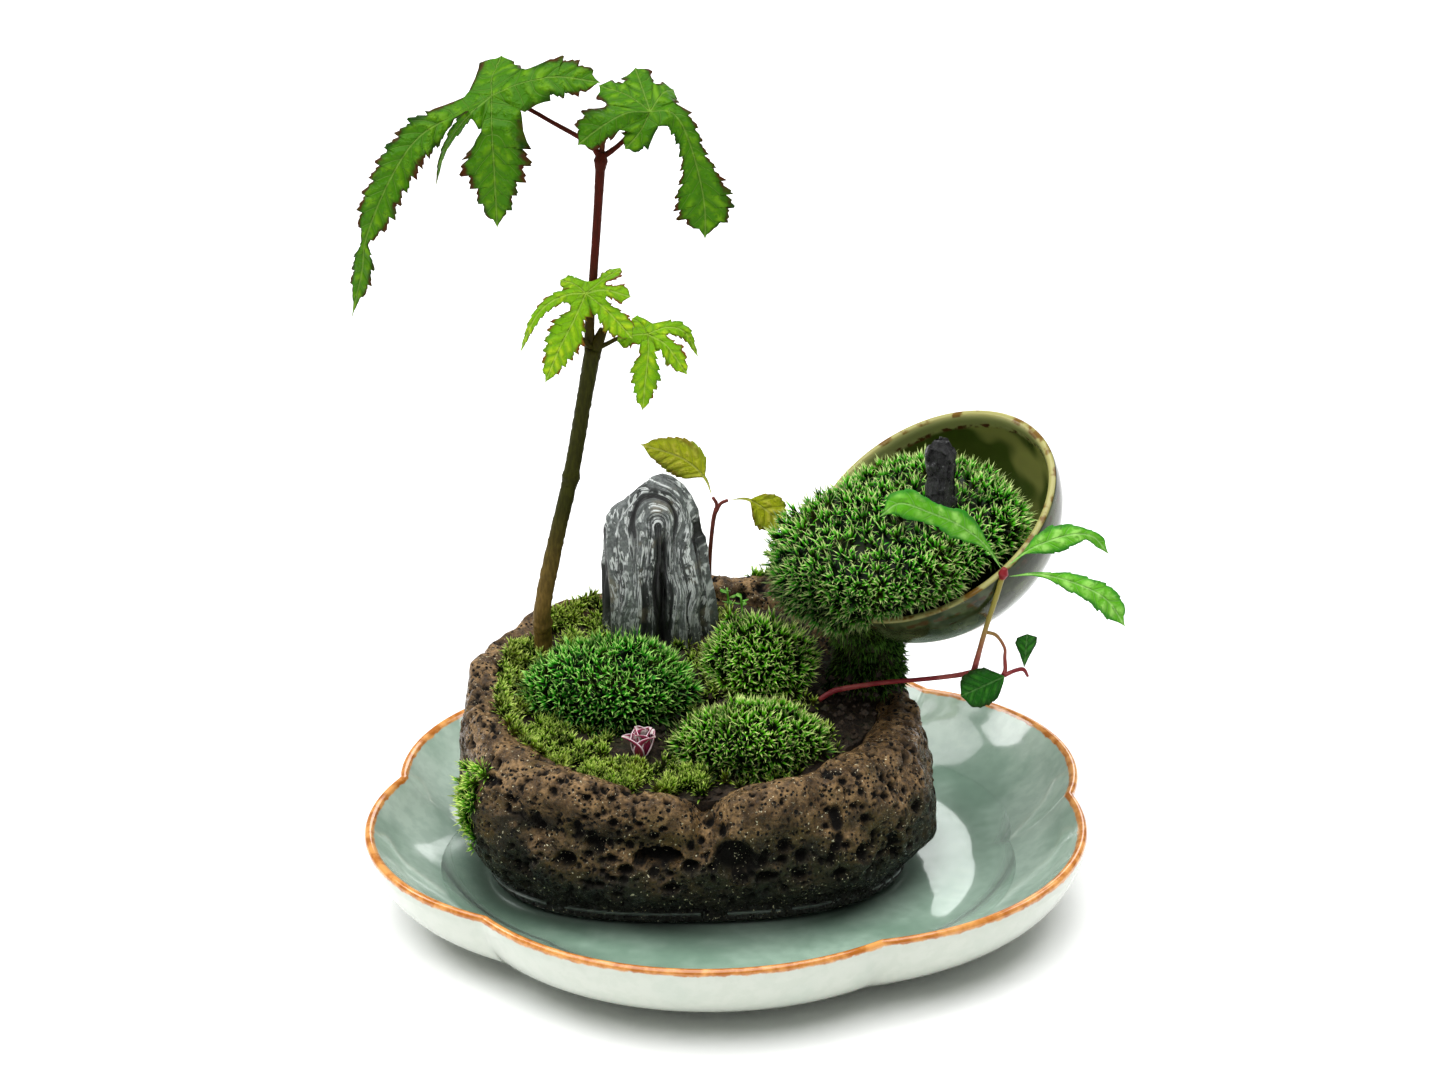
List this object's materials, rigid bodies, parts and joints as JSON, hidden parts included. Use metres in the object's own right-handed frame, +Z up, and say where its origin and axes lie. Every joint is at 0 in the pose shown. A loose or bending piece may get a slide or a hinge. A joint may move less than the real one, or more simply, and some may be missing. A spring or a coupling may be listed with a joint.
{
  "type": "moss bowl garden",
  "caption": "Moss bowl garden: a hollow lava rock planted with moss, a maple seedling, stones and herbs stands in a lobed dish of water, with a tipped tea cup that spills moss over its rim.",
  "frame": {"origin": "middle of the garden's outline in plan, on the surface that it stands on", "axes": "+Z up, the longest way, from the dish's foot to the top leaf; +Y away from the viewer, towards the rock's high back rim; +X to the right, towards the tea cup"},
  "size_m": [0.2249, 0.22, 0.2523],
  "materials": {
    "celadon_glaze": "gloss celadon glaze with an orange-brown rim line",
    "cup_glaze": "gloss olive glaze inside, grey-green outside",
    "water": "clear still water",
    "lava_rock": "rough brown lava with burst bubbles",
    "soil": "dark crumbly soil",
    "grey_stone": "grey fluted stone with pale veins",
    "dark_stone": "rough near-black stone",
    "moss_dark": "dark green moss with pale tips",
    "moss_green": "green moss with pale tips",
    "moss_olive": "low olive moss",
    "maple_bark": "olive bark that turns red towards the shoot",
    "maple_leaf": "green leaf with red-brown margins",
    "young_maple_leaf": "yellow-green leaf with red-brown margins",
    "seedling_stem": "thin brown stem",
    "seedling_leaf": "yellow-green leaf",
    "red_stem": "thin red runner",
    "sprig_leaf": "bright green leaf",
    "variegated_leaf": "pink and white curled leaf"
  },
  "bodies": {
    "root": {"cup_soil": "soil", "dark_stone": "dark_stone", "lava_rock": "lava_rock", "maple_leaf_left": "maple_leaf", "maple_leaf_low_left": "young_maple_leaf", "maple_leaf_low_right": "young_maple_leaf", "maple_leaf_right": "maple_leaf", "maple_stem": "maple_bark", "moss_carpet_front": "moss_olive", "moss_carpet_left": "moss_olive", "moss_cushion_back": "moss_green", "moss_cushion_cup": "moss_green", "moss_cushion_front": "moss_green", "moss_cushion_left": "moss_dark", "pink_sprout": "variegated_leaf", "plate": "celadon_glaze", "ridge_stone": "grey_stone", "seedling_leaf_left": "seedling_leaf", "seedling_leaf_right": "seedling_leaf", "seedling_stem": "seedling_stem", "soil": "soil", "sprig_leaf_left": "sprig_leaf", "sprig_leaf_right_high": "sprig_leaf", "sprig_leaf_right_low": "sprig_leaf", "sprig_leaf_round": "sprig_leaf", "sprig_leaf_small": "sprig_leaf", "sprig_stem": "red_stem", "tea_cup": "cup_glaze", "water": "water"}
  },
  "joints": []
}
